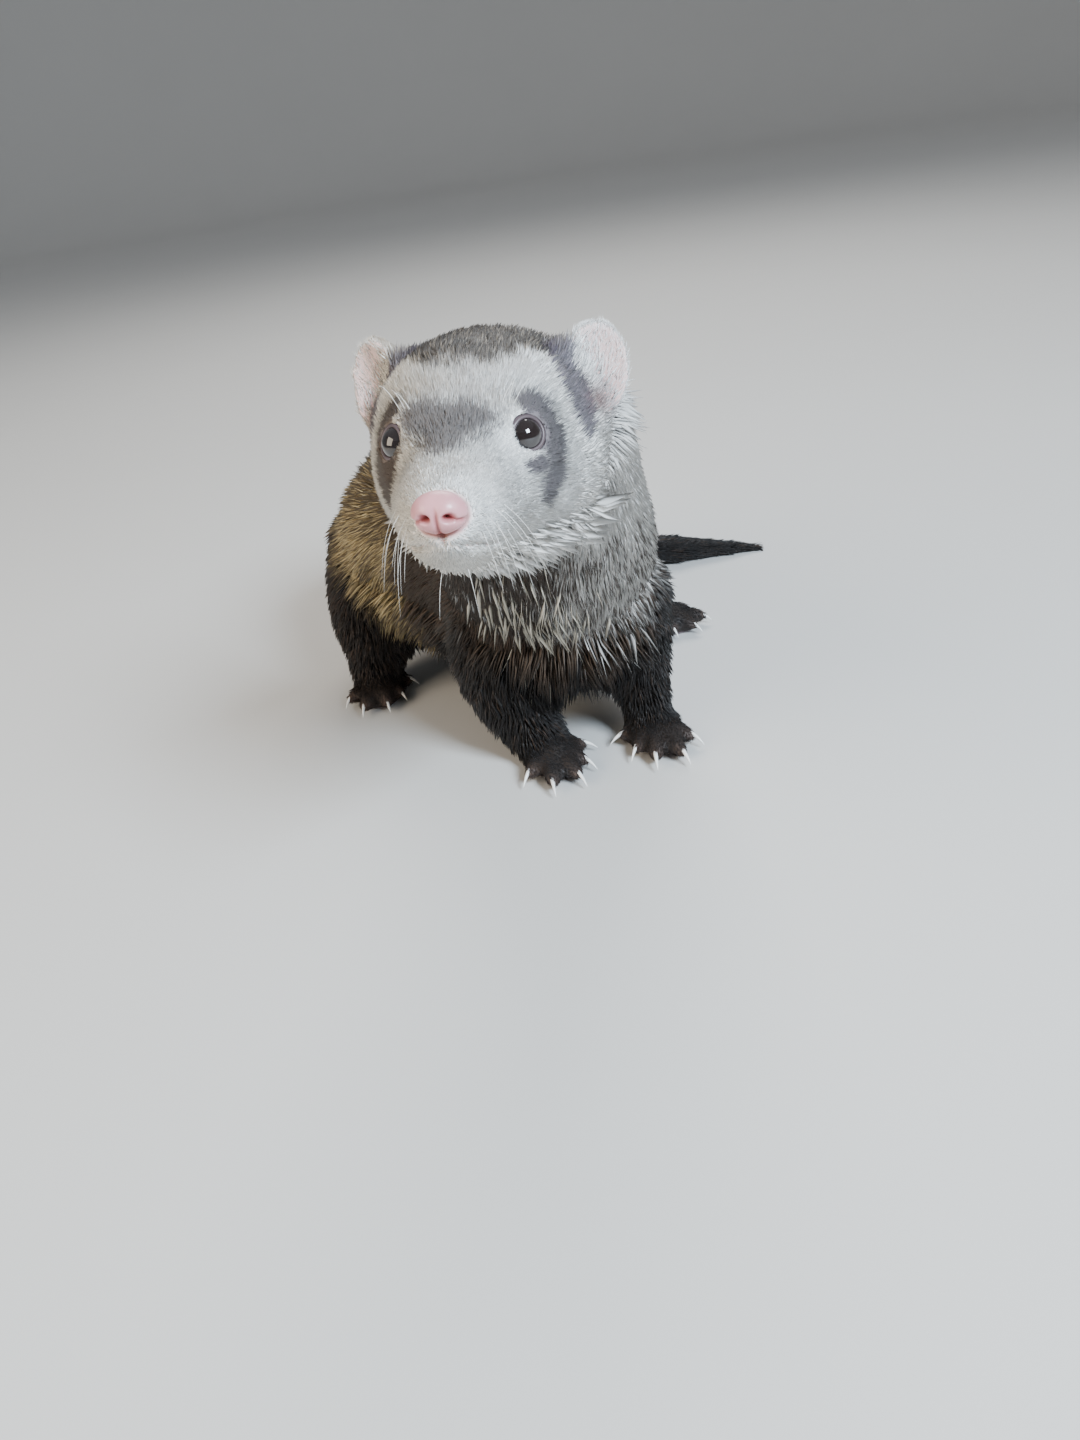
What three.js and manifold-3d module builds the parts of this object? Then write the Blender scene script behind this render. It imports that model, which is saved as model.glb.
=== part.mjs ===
// A life-size young ferret, standing with its head raised. Millimetres, +Z up, nose towards -Y.
// Left and right are the animal's own: its left side is +X. The origin is the middle of its box, on the floor.
import * as THREE from "three";
import { LoftGeometry } from "three/addons/geometries/LoftGeometry.js";
import { mergeVertices } from "three/addons/utils/BufferGeometryUtils.js";
import Module from "manifold-3d";

const wasm = await Module();
wasm.setup();

const GAP = 0.3; // clear space between touching pieces
const RAD = Math.PI / 180;
const UP = new THREE.Vector3(0, 0, 1);
const FORWARD = new THREE.Vector3(0, -1, 0);

// Head: its own frame has the tip of the nose at the origin, the face towards -Y.
const NOSE_AT = [-10.4, -112.4, 102.2];
const HEAD_TURN = -12 * RAD; // about Z, towards the animal's right
const HEAD_LIFT = -7 * RAD; // about X, nose up
const HEAD_TILT = 1.5 * RAD; // about Y, the right ear a little higher
const EYE = { x: 10.0, y: 20.4, z: 7.2, radius: 3.5 };
const EYE_AIM = new THREE.Vector3(0.62, -0.72, 0.3).normalize(); // the left eye's outward direction
const EAR = { x: 19.8, y: 44, z: 14.0, wide: 7.2, tall: 9.4, deep: 4.4, wall: 1.3 };
const NOSE_PAD = { wide: 4.4, tall: 3.3, deep: 3.0 };

const COLOURS = {
  cream: { color: 0xe9e2d2, roughness: 0.85, metalness: 0 },
  grey: { color: 0x8d8577, roughness: 0.85, metalness: 0 },
  brown: { color: 0x6a5638, roughness: 0.85, metalness: 0 },
  black: { color: 0x201a18, roughness: 0.85, metalness: 0 },
  pink: { color: 0xd79a92, roughness: 0.45, metalness: 0 },
  eye: { color: 0x08080a, roughness: 0.08, metalness: 0 },
  claw: { color: 0xe8e4da, roughness: 0.35, metalness: 0 },
};

const vector = (p) => new THREE.Vector3(...p);

// A three.js geometry as a solid, in the place that a matrix gives.
function solid(geometry, matrix = new THREE.Matrix4()) {
  const bare = new THREE.BufferGeometry().setAttribute("position", geometry.getAttribute("position"));
  bare.setIndex(geometry.getIndex()).applyMatrix4(matrix);
  const merged = mergeVertices(bare, 1e-4);
  return new wasm.Manifold(new wasm.Mesh({
    numProp: 3,
    vertProperties: new Float32Array(merged.attributes.position.array),
    triVerts: new Uint32Array(merged.index.array),
  }));
}

// The largest closed piece of a solid, without the crumbs that a cut can leave.
function largest(made) {
  const pieces = made.decompose();
  return pieces.reduce((a, b) => (b.volume() > a.volume() ? b : a));
}

function toGeometry(made) {
  const { vertProperties, triVerts } = made.getMesh();
  const geometry = new THREE.BufferGeometry();
  geometry.setAttribute("position", new THREE.BufferAttribute(new Float32Array(vertProperties), 3));
  geometry.setIndex(new THREE.BufferAttribute(new Uint32Array(triVerts), 1));
  geometry.computeVertexNormals();
  return geometry;
}

const unite = (...pieces) => pieces.reduce((a, b) => a.add(b));
const moved = (made, matrix) => made.transform([...matrix.elements]);

// A smooth closed form lofted through stations. Each station has its centre and how far the flesh and coat reach
// from it to each side, above and below. boxy squares off the upper half, swells are soft bumps and hollows, and
// grow makes the same form fatter all round, to cut a clearance with.
function form(stations, options = {}) {
  const { rings = 12, sides = 16, domes = 3, ends = [3, 3], up = UP, boxy = 1, swells = [], grow = 0 } = options;
  const centres = new THREE.CatmullRomCurve3(stations.map((s) => vector(s.at)), false, "catmullrom");
  const reaches = new THREE.CatmullRomCurve3(
    stations.map((s) => new THREE.Vector3(s.wide, s.top ?? s.wide, s.under ?? s.top ?? s.wide)), false, "catmullrom");
  const section = (t, shrink, shift) => {
    const along = centres.getTangent(t);
    const side = up.clone().cross(along).normalize();
    const over = along.clone().cross(side);
    const middle = centres.getPoint(t).addScaledVector(along, shift);
    const reach = reaches.getPoint(t);
    const points = [];
    for (let i = 0; i < sides; i++) {
      const angle = (i / sides) * 2 * Math.PI;
      const [across, rise] = [Math.cos(angle), Math.sin(angle)];
      const wide = (reach.x + grow) * (rise > 0 ? Math.sign(across) * Math.abs(across) ** boxy : across) * shrink;
      const tall = ((rise > 0 ? reach.y : reach.z) + grow) * rise * shrink;
      const offset = side.clone().multiplyScalar(wide).addScaledVector(over, tall);
      const point = middle.clone().add(offset);
      for (const s of swells) {
        const near = Math.exp(-point.distanceToSquared(s.at) / (s.reach * s.reach));
        point.addScaledVector(offset.clone().normalize(), s.height * near);
      }
      points.push(point);
    }
    return points;
  };
  const sections = [];
  for (let i = domes; i > 0; i--) {
    const turn = (i / (domes + 0.35)) * 90 * RAD;
    sections.push(section(0, Math.cos(turn), -(ends[0] + grow) * Math.sin(turn)));
  }
  for (let i = 0; i <= rings; i++) sections.push(section(i / rings, 1, 0));
  for (let i = 1; i <= domes; i++) {
    const turn = (i / (domes + 0.35)) * 90 * RAD;
    sections.push(section(1, Math.cos(turn), (ends[1] + grow) * Math.sin(turn)));
  }
  return solid(new LoftGeometry(sections, { capStart: true, capEnd: true }));
}

function ellipsoid(centre, radii, sides = 16) {
  const place = new THREE.Matrix4().makeTranslation(...centre).scale(vector(radii));
  return solid(new THREE.SphereGeometry(1, sides, Math.round(sides * 0.6)), place);
}

// Head

const headPlace = new THREE.Matrix4().compose(
  vector(NOSE_AT),
  new THREE.Quaternion().setFromEuler(new THREE.Euler(HEAD_LIFT, HEAD_TILT, HEAD_TURN, "ZXY")),
  new THREE.Vector3(1, 1, 1));

// Each station of the head: distance behind the nose, half width, and the heights of crown, widest line and jaw.
const HEAD_STATIONS = [
  { y: 1.6, wide: 4.6, crown: 1.8, line: -2.6, jaw: -7.4 },
  { y: 5, wide: 7.6, crown: 4.6, line: -2.6, jaw: -10.6 },
  { y: 10, wide: 9.9, crown: 7.2, line: -2.2, jaw: -12.6 },
  { y: 16, wide: 12.6, crown: 10.8, line: -1.5, jaw: -13.9 },
  { y: 22, wide: 15.8, crown: 15.6, line: -0.5, jaw: -15.2 },
  { y: 30, wide: 19.2, crown: 20.8, line: 0.5, jaw: -17.0 },
  { y: 38, wide: 21.6, crown: 23.5, line: 1.5, jaw: -18.6 },
  { y: 46, wide: 22.0, crown: 23.5, line: 1.5, jaw: -19.6 },
  { y: 54, wide: 20.6, crown: 21.0, line: 0.5, jaw: -19.0 },
].map((s) => ({ at: [0, s.y, s.line], wide: s.wide, top: s.crown - s.line, under: s.line - s.jaw }));

// Whisker pads, the hollow in front of each eye, brows and cheeks.
const HEAD_SWELLS = [1, -1].flatMap((side) => [
  { at: new THREE.Vector3(side * 7, 7, -3.5), reach: 4.5, height: 0.9 },
  { at: new THREE.Vector3(side * 9, 14, 5), reach: 4.5, height: -1.0 },
  { at: new THREE.Vector3(side * 11, 26, 15), reach: 7, height: 1.0 },
  { at: new THREE.Vector3(side * 19, 36, -9), reach: 10, height: 1.0 },
]);

function headForm(grow) {
  return form(HEAD_STATIONS, { rings: 19, sides: 28, ends: [1.6, 9], boxy: 0.86, swells: HEAD_SWELLS, grow });
}

// The line of the mouth, from the middle under the nose to the right corner, as points just under the skin.
const MOUTH_HALF = [
  [0, 0.3, -4.6], [2.4, 0.8, -5.2], [5.3, 3.4, -6.2], [8.2, 7.9, -7.0], [10.6, 13.6, -7.4], [12.1, 17.4, -7.0],
];

function mouthGroove() {
  const mirrored = MOUTH_HALF.slice(1).reverse().map(([x, y, z]) => [-x, y, z]);
  const stations = [...mirrored, ...MOUTH_HALF].map((at) => ({ at, wide: 0.7 }));
  return form(stations, { rings: 20, sides: 5, domes: 1, ends: [0.5, 0.5] });
}

const eyePlace = (side) => [side * EYE.x, EYE.y, EYE.z];

function eyeSolid(side, grow = 0) {
  const r = EYE.radius + grow;
  return ellipsoid(eyePlace(side), [r, r, r], 16);
}

// The lids are one raised, slightly almond ring round the eye, its plane square to the eye's aim.
function lids(side) {
  const aim = EYE_AIM.clone().setX(side * EYE_AIM.x);
  const turn = new THREE.Quaternion().setFromUnitVectors(UP, aim);
  const middle = vector(eyePlace(side)).addScaledVector(aim, EYE.radius * 0.5);
  const place = new THREE.Matrix4().compose(middle, turn, new THREE.Vector3(1, 1, 1));
  return solid(new THREE.TorusGeometry(EYE.radius * 0.96, 1.25, 8, 20), place);
}

function earSolid(side, grow = 0) {
  const { wide, tall, deep, wall } = EAR;
  const place = new THREE.Matrix4().compose(
    vector([side * EAR.x, EAR.y, EAR.z]),
    new THREE.Quaternion().setFromEuler(new THREE.Euler(-8 * RAD, side * 16 * RAD, side * 34 * RAD, "ZXY")),
    new THREE.Vector3(1, 1, 1));
  const shell = ellipsoid([0, 0, 0], [wide + grow, deep + grow, tall + grow], 20);
  if (grow > 0) return moved(shell, place);
  const cup = ellipsoid([0, -deep * 0.62, 0.4], [wide - wall, deep * 0.95, tall - wall], 20);
  return moved(shell.subtract(cup), place);
}

const nosePad = (grow = 0) => ellipsoid([0, 0.4, 0],
  [NOSE_PAD.wide + grow, NOSE_PAD.deep + grow, NOSE_PAD.tall + grow], 18);

function noseSolid() {
  const nostril = (side) => ellipsoid([side * 2.0, -2.3, -0.2], [1.0, 1.3, 0.9], 10);
  return nosePad().subtract(nostril(1)).subtract(nostril(-1));
}

// Body

const NECK_STATIONS = [
  { at: [8.5, -6, 48], wide: 28.5, top: 26, under: 24 },
  { at: [7.5, -25, 64], wide: 27, top: 24, under: 24 },
  { at: [5, -44, 84], wide: 24.8, top: 21, under: 22 },
  { at: [1.8, -62, 101], wide: 24.2, top: 18, under: 20 },
];
const TORSO_STATIONS = [
  { at: [9, -26, 40], wide: 21.5, top: 20, under: 22 },
  { at: [9, -12, 44], wide: 28.5, top: 29, under: 32.5 },
  { at: [4, 8, 46], wide: 30.5, top: 32, under: 36 },
  { at: [-5, 28, 46], wide: 34.5, top: 34, under: 36.5 },
  { at: [-13, 48, 43], wide: 40.5, top: 34.5, under: 33 },
  { at: [-15, 68, 37], wide: 34, top: 28.5, under: 26.5 },
];
const TAIL_STATIONS = [
  { at: [-14, 78, 24], wide: 12 },
  { at: [4, 92, 13], wide: 9.5 },
  { at: [28, 99, 7.6], wide: 7.7 },
  { at: [52, 99, 5.4], wide: 5.6 },
  { at: [74, 98, 3.2], wide: 3.4 },
  { at: [88, 97.5, 1.4], wide: 1.6 },
];
const torsoForm = (grow = 0) => form(TORSO_STATIONS, { rings: 14, sides: 24, ends: [8, 14], grow });
const neckForm = (grow = 0) => form(NECK_STATIONS, { rings: 7, sides: 24, ends: [4, 4], grow });
const tailForm = () => form(TAIL_STATIONS, { rings: 17, sides: 10, domes: 2, ends: [4, 2.5] });
const TAIL_JOINTS = [21, 54]; // x of the thin cuts between its three lengths

// Legs: each from its root in the trunk down to the joint above the paw.
const LEGS = {
  fore_leg_right: [
    { at: [-8, -12, 40], wide: 12, top: 14 },
    { at: [-9.5, -14, 28], wide: 12.4, top: 13 },
    { at: [-5.5, -17.5, 16], wide: 11, top: 10.5 },
    { at: [-1.8, -20, 8], wide: 9.4, top: 8.4 },
  ],
  fore_leg_left: [
    { at: [27, -12, 42], wide: 12.5, top: 15 },
    { at: [27, -13, 28], wide: 11.8, top: 13 },
    { at: [28.2, -15, 15], wide: 9.2, top: 9.6 },
    { at: [29, -17, 8], wide: 7.4, top: 7.6 },
  ],
  hind_leg_right: [
    { at: [-38.5, 52, 40], wide: 18.8, top: 20 },
    { at: [-43.5, 41, 29], wide: 16, top: 18 },
    { at: [-45.5, 34.5, 17], wide: 13.2, top: 13.5 },
    { at: [-49, 33, 8], wide: 8.5, top: 9 },
  ],
  hind_leg_left: [
    { at: [10, 60, 37], wide: 17, top: 20 },
    { at: [24, 54, 25], wide: 12, top: 15 },
    { at: [34, 50, 15], wide: 9, top: 10 },
    { at: [38, 50, 8], wide: 7.2, top: 8 },
  ],
};
const legForm = (name, grow = 0) => form(LEGS[name], { rings: 7, sides: 14, ends: [10, 5], up: FORWARD, grow });

// Paws: five toes that fan out from the pad, in a frame whose -Y is the way that the paw points.
const FORE = { pad: [8.4, 9, 6.6], scale: 1, claw: 5.4 };
const HIND = { pad: [8, 13, 6.2], scale: 0.95, claw: 4.2 };
const PAWS = {
  fore_paw_right: { ...FORE, leg: "fore_leg_right", side: -1, at: [1, -22.3, 0], turn: 18 },
  fore_paw_left: { ...FORE, leg: "fore_leg_left", side: 1, at: [30, -18, 0], turn: 0 },
  hind_paw_right: { ...HIND, leg: "hind_leg_right", side: -1, at: [-47.5, 33, 0], turn: 5 },
  hind_paw_left: { ...HIND, leg: "hind_leg_left", side: 1, at: [40.3, 48.8, 0], turn: 55 },
};
// From the inner toe to the outer: how far each turns out of the paw's line, and how far out its claw's tip stands.
const TOES = [
  { fan: -68, reach: 13.3 },
  { fan: -28, reach: 16.4 },
  { fan: -6, reach: 20.3 },
  { fan: 18, reach: 20.9 },
  { fan: 45, reach: 16.6 },
];

const FLOOR = solid(new THREE.BoxGeometry(500, 500, 40), new THREE.Matrix4().makeTranslation(0, 0, -20));

// A point on a toe's line, so far short of its claw's tip, at a height above the floor.
function onToe(paw, toe, short, height) {
  const turn = toe.fan * paw.side * RAD;
  const reach = toe.reach * paw.scale - short;
  return [Math.sin(turn) * reach, -Math.cos(turn) * reach, height];
}

function toeForm(paw, toe, grow = 0) {
  const length = toe.reach * paw.scale - 3.5;
  const stations = [
    { at: onToe(paw, toe, length, 4.2), wide: 3.4 },
    { at: onToe(paw, toe, paw.claw + 2.6, 4.1), wide: 3.2 },
    { at: onToe(paw, toe, paw.claw - 0.4, 2.8), wide: 2.7 },
  ];
  return form(stations, { rings: 3, sides: 7, domes: 1, ends: [1.6, 1.8], grow });
}

function clawForm(paw, toe, grow = 0) {
  const step = (share, height, wide) => ({ at: onToe(paw, toe, paw.claw * (1 - share), height), wide });
  const stations = [step(-0.2, 3.8, 0.9), step(0.15, 4.2, 0.95), step(0.6, 3.2, 0.8), step(0.94, 1.0, 0.45)];
  return form(stations, { rings: 4, sides: 5, domes: 1, ends: [0.6, 0.3], grow });
}

// Assembly

const root = new THREE.Group();

function addMesh(parent, name, made, finish) {
  const mesh = new THREE.Mesh(toGeometry(largest(made)), new THREE.MeshStandardMaterial(COLOURS[finish]));
  mesh.name = name;
  parent.add(mesh);
  return mesh;
}

const headGroup = new THREE.Group();
headPlace.decompose(headGroup.position, headGroup.quaternion, headGroup.scale);
root.add(headGroup);

const SIDES = { left: 1, right: -1 };
let head = unite(headForm(0), lids(1), lids(-1));
for (const side of [1, -1]) head = head.subtract(eyeSolid(side, GAP));
head = head.subtract(nosePad(GAP)).subtract(mouthGroove());
addMesh(headGroup, "head", head, "cream");
addMesh(headGroup, "nose", noseSolid(), "pink");
for (const [name, side] of Object.entries(SIDES)) {
  addMesh(headGroup, "eye_" + name, eyeSolid(side), "eye");
  addMesh(headGroup, "ear_" + name, earSolid(side).subtract(headForm(GAP)), "cream");
}

const headInBody = moved(headForm(GAP), headPlace);
const torsoGrown = torsoForm(GAP);
const neckGrown = neckForm(GAP);
addMesh(root, "torso", torsoForm().subtract(FLOOR), "brown");
addMesh(root, "neck", neckForm().subtract(torsoGrown).subtract(headInBody), "grey");

const tail = tailForm().subtract(torsoGrown).subtract(FLOOR);
const tailEdges = [-500, ...TAIL_JOINTS, 500];
["tail_base", "tail_middle", "tail_tip"].forEach((name, i) => {
  const [low, high] = [tailEdges[i] + GAP / 2, tailEdges[i + 1] - GAP / 2];
  addMesh(root, name, tail.trimByPlane([1, 0, 0], low).trimByPlane([-1, 0, 0], -high), "black");
});

for (const [pawName, paw] of Object.entries(PAWS)) {
  const pawPlace = new THREE.Matrix4().makeTranslation(...paw.at)
    .multiply(new THREE.Matrix4().makeRotationZ(paw.turn * RAD));
  const pawGroup = new THREE.Group();
  pawPlace.decompose(pawGroup.position, pawGroup.quaternion, pawGroup.scale);
  root.add(pawGroup);
  const pawBody = (grow) => unite(
    ellipsoid([0, -3, 3.2], paw.pad.map((r) => r + grow), 14),
    ...TOES.map((toe) => toeForm(paw, toe, grow)));
  let pawSolid = pawBody(0);
  const leg = legForm(paw.leg).subtract(torsoGrown).subtract(neckGrown).subtract(FLOOR);
  addMesh(root, paw.leg, leg.subtract(moved(pawBody(GAP), pawPlace)), "black");
  TOES.forEach((toe, i) => {
    pawSolid = pawSolid.subtract(clawForm(paw, toe, GAP));
    addMesh(pawGroup, pawName + "_claw_" + (i + 1), clawForm(paw, toe).subtract(FLOOR), "claw");
  });
  addMesh(pawGroup, pawName, pawSolid.subtract(FLOOR), "black");
}

root.updateMatrixWorld(true);
const box = new THREE.Box3().setFromObject(root, true);
root.position.set(-(box.min.x + box.max.x) / 2, -(box.min.y + box.max.y) / 2, -box.min.z);
root.updateMatrixWorld(true);

export default root;
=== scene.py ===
"""A life-size young ferret: skin, coat, eyes, nose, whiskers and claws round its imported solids.

Lengths named here are in millimetres and are turned into metres by MM. Left and right are the animal's own.
"""
import bpy
import bmesh
import math
import numpy as np
from mathutils import Matrix, Vector
from mathutils.bvhtree import BVHTree
from mathutils.kdtree import KDTree


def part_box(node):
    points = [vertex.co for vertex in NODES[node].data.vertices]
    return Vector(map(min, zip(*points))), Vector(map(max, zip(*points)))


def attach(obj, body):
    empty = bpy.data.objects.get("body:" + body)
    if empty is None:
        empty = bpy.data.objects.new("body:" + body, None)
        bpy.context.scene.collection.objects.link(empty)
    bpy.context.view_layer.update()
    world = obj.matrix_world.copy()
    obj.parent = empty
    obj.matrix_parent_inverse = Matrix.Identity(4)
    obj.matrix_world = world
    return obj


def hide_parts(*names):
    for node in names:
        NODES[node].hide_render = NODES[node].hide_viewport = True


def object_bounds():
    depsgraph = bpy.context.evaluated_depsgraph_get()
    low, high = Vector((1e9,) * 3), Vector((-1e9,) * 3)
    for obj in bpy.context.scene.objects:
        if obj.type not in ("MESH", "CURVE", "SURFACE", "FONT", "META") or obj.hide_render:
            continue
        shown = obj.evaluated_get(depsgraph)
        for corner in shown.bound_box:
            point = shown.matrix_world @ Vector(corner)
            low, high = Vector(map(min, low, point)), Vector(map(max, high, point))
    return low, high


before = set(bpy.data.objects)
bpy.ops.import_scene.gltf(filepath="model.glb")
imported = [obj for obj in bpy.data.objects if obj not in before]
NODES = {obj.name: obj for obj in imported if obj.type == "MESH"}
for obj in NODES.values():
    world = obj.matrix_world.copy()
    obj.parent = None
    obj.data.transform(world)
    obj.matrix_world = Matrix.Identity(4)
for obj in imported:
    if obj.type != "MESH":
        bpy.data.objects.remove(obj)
cad_low, cad_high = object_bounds()

MM = 0.001
SEED = 41
BODY = "root"


# Places worked out from the frame

def middle_of(node):
    low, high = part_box(node)
    return np.array((low + high) / 2)


def unit(vectors):
    vectors = np.asarray(vectors, float)
    length = np.linalg.norm(vectors, axis=-1, keepdims=True)
    return vectors / np.maximum(length, 1e-12)


# The head's own frame has the tip of the nose at its origin: X to the animal's left, Y back from the nose,
# Z up.
EYE = np.array([10.0, 20.4, 7.2])
EYE_RADIUS = 3.5
EYE_AIM = unit([0.62, -0.72, 0.3])
NOSE_MIDDLE_Y = 0.4
NOSE_REACH = np.array([4.4, 3.0, 3.3])
EAR = np.array([19.8, 44.0, 14.0])
EAR_WIDE, EAR_TALL = 7.2, 9.4
EAR_AIM = unit([0.56, -0.83, 0.1])
SIDES = {"left": 1, "right": -1}

eye_left, eye_right, nose_middle = middle_of("eye_left"), middle_of("eye_right"), middle_of("nose")
head_x = unit(eye_left - eye_right)
to_eyes = unit((eye_left + eye_right) / 2 - nose_middle)
raised = unit(np.cross(head_x, to_eyes))
slope = math.atan2(EYE[2], EYE[1] - NOSE_MIDDLE_Y)
head_y = math.cos(slope) * to_eyes - math.sin(slope) * raised
head_z = math.sin(slope) * to_eyes + math.cos(slope) * raised
HEAD_AXES = np.stack([head_x, head_y, head_z])
head_origin = nose_middle - NOSE_MIDDLE_Y * MM * head_y


def in_head(points):
    """Points of the row frame in the head's frame, in millimetres."""
    return (np.asarray(points) - head_origin) @ HEAD_AXES.T / MM


def from_head(points):
    return np.asarray(points, float) * MM @ HEAD_AXES + head_origin


def mirrored(place, side):
    return np.array([place[0] * side, place[1], place[2]])


def folded(h):
    """Places in the head's frame with its right half laid over its left half."""
    return np.concatenate([np.abs(h[:, :1]), h[:, 1:]], 1)


def claws_of(paw):
    return [f"{paw}_claw_{number}" for number in range(1, 6)]


# Camera: the photograph's viewing angle, set out from the middle of the nose pad

CAMERA_FROM_NOSE = np.array([10.34, -157.97, 52.85])
CAMERA_DOWN, CAMERA_ROLL = math.radians(30.0), math.radians(8.6)
FOCAL_SHARE = 1083 / 1440
SENSOR = 36.0
NEAREST_SEEN = 0.01


def make_camera():
    data = bpy.data.cameras.new("view")
    data.lens = FOCAL_SHARE * SENSOR
    data.sensor_width = SENSOR
    data.clip_start = NEAREST_SEEN
    camera = bpy.data.objects.new("view", data)
    level_right = Vector((1, 0, 0))
    ahead = Vector((0, math.cos(CAMERA_DOWN), -math.sin(CAMERA_DOWN)))
    level_down = ahead.cross(level_right)
    right = math.cos(CAMERA_ROLL) * level_right + math.sin(CAMERA_ROLL) * level_down
    down = -math.sin(CAMERA_ROLL) * level_right + math.cos(CAMERA_ROLL) * level_down
    turn = Matrix((right, -down, -ahead)).transposed().to_4x4()
    camera.matrix_world = Matrix.Translation(Vector(nose_middle + CAMERA_FROM_NOSE * MM)) @ turn
    bpy.context.scene.collection.objects.link(camera)
    bpy.context.scene.camera = camera


make_camera()


# Small tools

def add_object(name, mesh):
    piece = bpy.data.objects.new(name, mesh)
    bpy.context.scene.collection.objects.link(piece)
    return piece


def mesh_from(name, points, faces):
    mesh = bpy.data.meshes.new(name)
    points, faces = np.asarray(points, np.float32), np.asarray(faces, np.int32)
    sides = faces.shape[1]
    mesh.vertices.add(len(points))
    mesh.vertices.foreach_set("co", points.ravel())
    mesh.loops.add(faces.size)
    mesh.loops.foreach_set("vertex_index", faces.ravel())
    mesh.polygons.add(len(faces))
    mesh.polygons.foreach_set("loop_start", np.arange(0, faces.size, sides, dtype=np.int32))
    mesh.polygons.foreach_set("use_smooth", np.ones(len(faces), bool))
    mesh.update(calc_edges=True)
    return mesh


def paint_points(mesh, colours):
    """Keeps one colour for each point of the mesh, which its material reads."""
    layer = mesh.color_attributes.new("coat", "FLOAT_COLOR", "POINT")
    rgba = np.ones((len(colours), 4), np.float32)
    rgba[:, :3] = np.clip(colours, 0, 1)
    layer.data.foreach_set("color", rgba.ravel())


def read(collection, field, width, kind=np.float32):
    values = np.empty(len(collection) * width, kind)
    collection.foreach_get(field, values)
    return values.reshape(-1, width)


def points_of(mesh):
    return read(mesh.vertices, "co", 3).astype(float)


def normals_of(mesh):
    return read(mesh.vertex_normals, "vector", 3).astype(float)


def set_points(mesh, points):
    mesh.vertices.foreach_set("co", np.asarray(points, np.float32).ravel())
    mesh.update()


def smoothed(values, edges, times, share=0.5):
    """Each value moved towards the mean of its neighbours along the edges, so many times over."""
    values = np.array(values, float)
    flat = values.reshape(len(values), -1)
    count = np.bincount(edges.ravel(), minlength=len(flat))[:, None]
    strength = share if np.ndim(share) == 0 else np.asarray(share)[:, None]
    for _ in range(times):
        total = np.stack([
            np.bincount(edges[:, 0], flat[edges[:, 1], i], len(flat))
            + np.bincount(edges[:, 1], flat[edges[:, 0], i], len(flat)) for i in range(flat.shape[1])], 1)
        flat = flat + strength * (total / np.maximum(count, 1) - flat)
    return flat.reshape(values.shape)


def ramp(value, low, high):
    """0 at low, 1 at high and beyond, and smooth between; low may be the larger."""
    t = np.clip((value - low) / (high - low), 0, 1)
    return t * t * (3 - 2 * t)


def blob(points, centre, reach):
    """1 at the centre, fading out over the reach, which is one length or one for each axis."""
    away = (points - np.asarray(centre)) / np.asarray(reach)
    return np.exp(-(away ** 2).sum(-1))


CROSSED_WAVES, WAVES_PEAK = 7, 3.2


def waves(points, size, seed):
    """Smooth noise from about -1 to 1, from a few crossed sine waves about that long."""
    draw = np.random.default_rng(seed)
    total = np.zeros(len(points))
    for _ in range(CROSSED_WAVES):
        way = unit(draw.normal(size=3)) * draw.uniform(0.6, 1.6) * 2 * math.pi / size
        total += np.sin(points @ way + draw.uniform(0, 2 * math.pi))
    return total / WAVES_PEAK


def near_line(points, line):
    """How far each point is from a line through the given places."""
    best = np.full(len(points), np.inf)
    for a, b in zip(line[:-1], line[1:]):
        along = np.clip(((points - a) @ (b - a)) / ((b - a) @ (b - a)), 0, 1)
        best = np.minimum(best, np.linalg.norm(points - a - along[:, None] * (b - a), axis=1))
    return best


# Skin: one closed surface over every node of flesh

PAWS = ["fore_paw_right", "fore_paw_left", "hind_paw_right", "hind_paw_left"]
LEGS = [name.replace("paw", "leg") for name in PAWS]
TAIL = ["tail_base", "tail_middle", "tail_tip"]
EARS = ["ear_left", "ear_right"]
FLESH = ["head", "neck", "torso", *TAIL, *LEGS, *PAWS, *EARS]
SWELL = 0.25 * MM  # closes the thin gaps between the solids
SAME_POINT = 1e-6
SKIN_STEP = 0.97 * MM
SKIN_GIVE, CRISP_HOLD = 0.5, 0.85
OUTER_BLUR, INNER_BLUR = 12, 8
FINE_WIDE, FINE_BACK, FINE_LOW, FINE_HIGH = 17, 24.5, -13, 15  # the muzzle and eyes, in the head's frame
PARTS_MARGIN = 4 * MM
PARTS_BLUR = 22

# For each part: how deep the coat lies over the skin, how long its hairs are and how wide a tuft is, and how
# many tufts grow on a square millimetre against other parts.
DEPTH, LENGTH, WIDTH, DENSITY = range(4)
COAT = {
    "head": (1.7, 3.5, 0.30, 10.0),
    "neck": (4.2, 7.8, 0.33, 5.0),
    "torso": (5.0, 9.5, 0.40, 3.6),
    "tail_base": (3.4, 8.5, 0.42, 3.2),
    "tail_middle": (2.6, 8.0, 0.38, 3.6),
    "tail_tip": (1.4, 5.0, 0.30, 5.0),
    **{name: (3.0, 6.5, 0.38, 4.0) for name in LEGS},
    **{name: (0.5, 1.6, 0.23, 9.0) for name in PAWS},
    **{name: (0.3, 1.7, 0.16, 11.0) for name in EARS},
}


def joined_flesh():
    joined = bmesh.new()
    for name in FLESH:
        part = bmesh.new()
        part.from_mesh(NODES[name].data)
        bmesh.ops.remove_doubles(part, verts=part.verts, dist=SAME_POINT)
        part.normal_update()
        for v in part.verts:
            v.co += v.normal * SWELL
        mesh = bpy.data.meshes.new("part")
        part.to_mesh(mesh)
        part.free()
        joined.from_mesh(mesh)
        bpy.data.meshes.remove(mesh)
    mesh = bpy.data.meshes.new("flesh")
    joined.to_mesh(mesh)
    joined.free()
    return mesh


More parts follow.
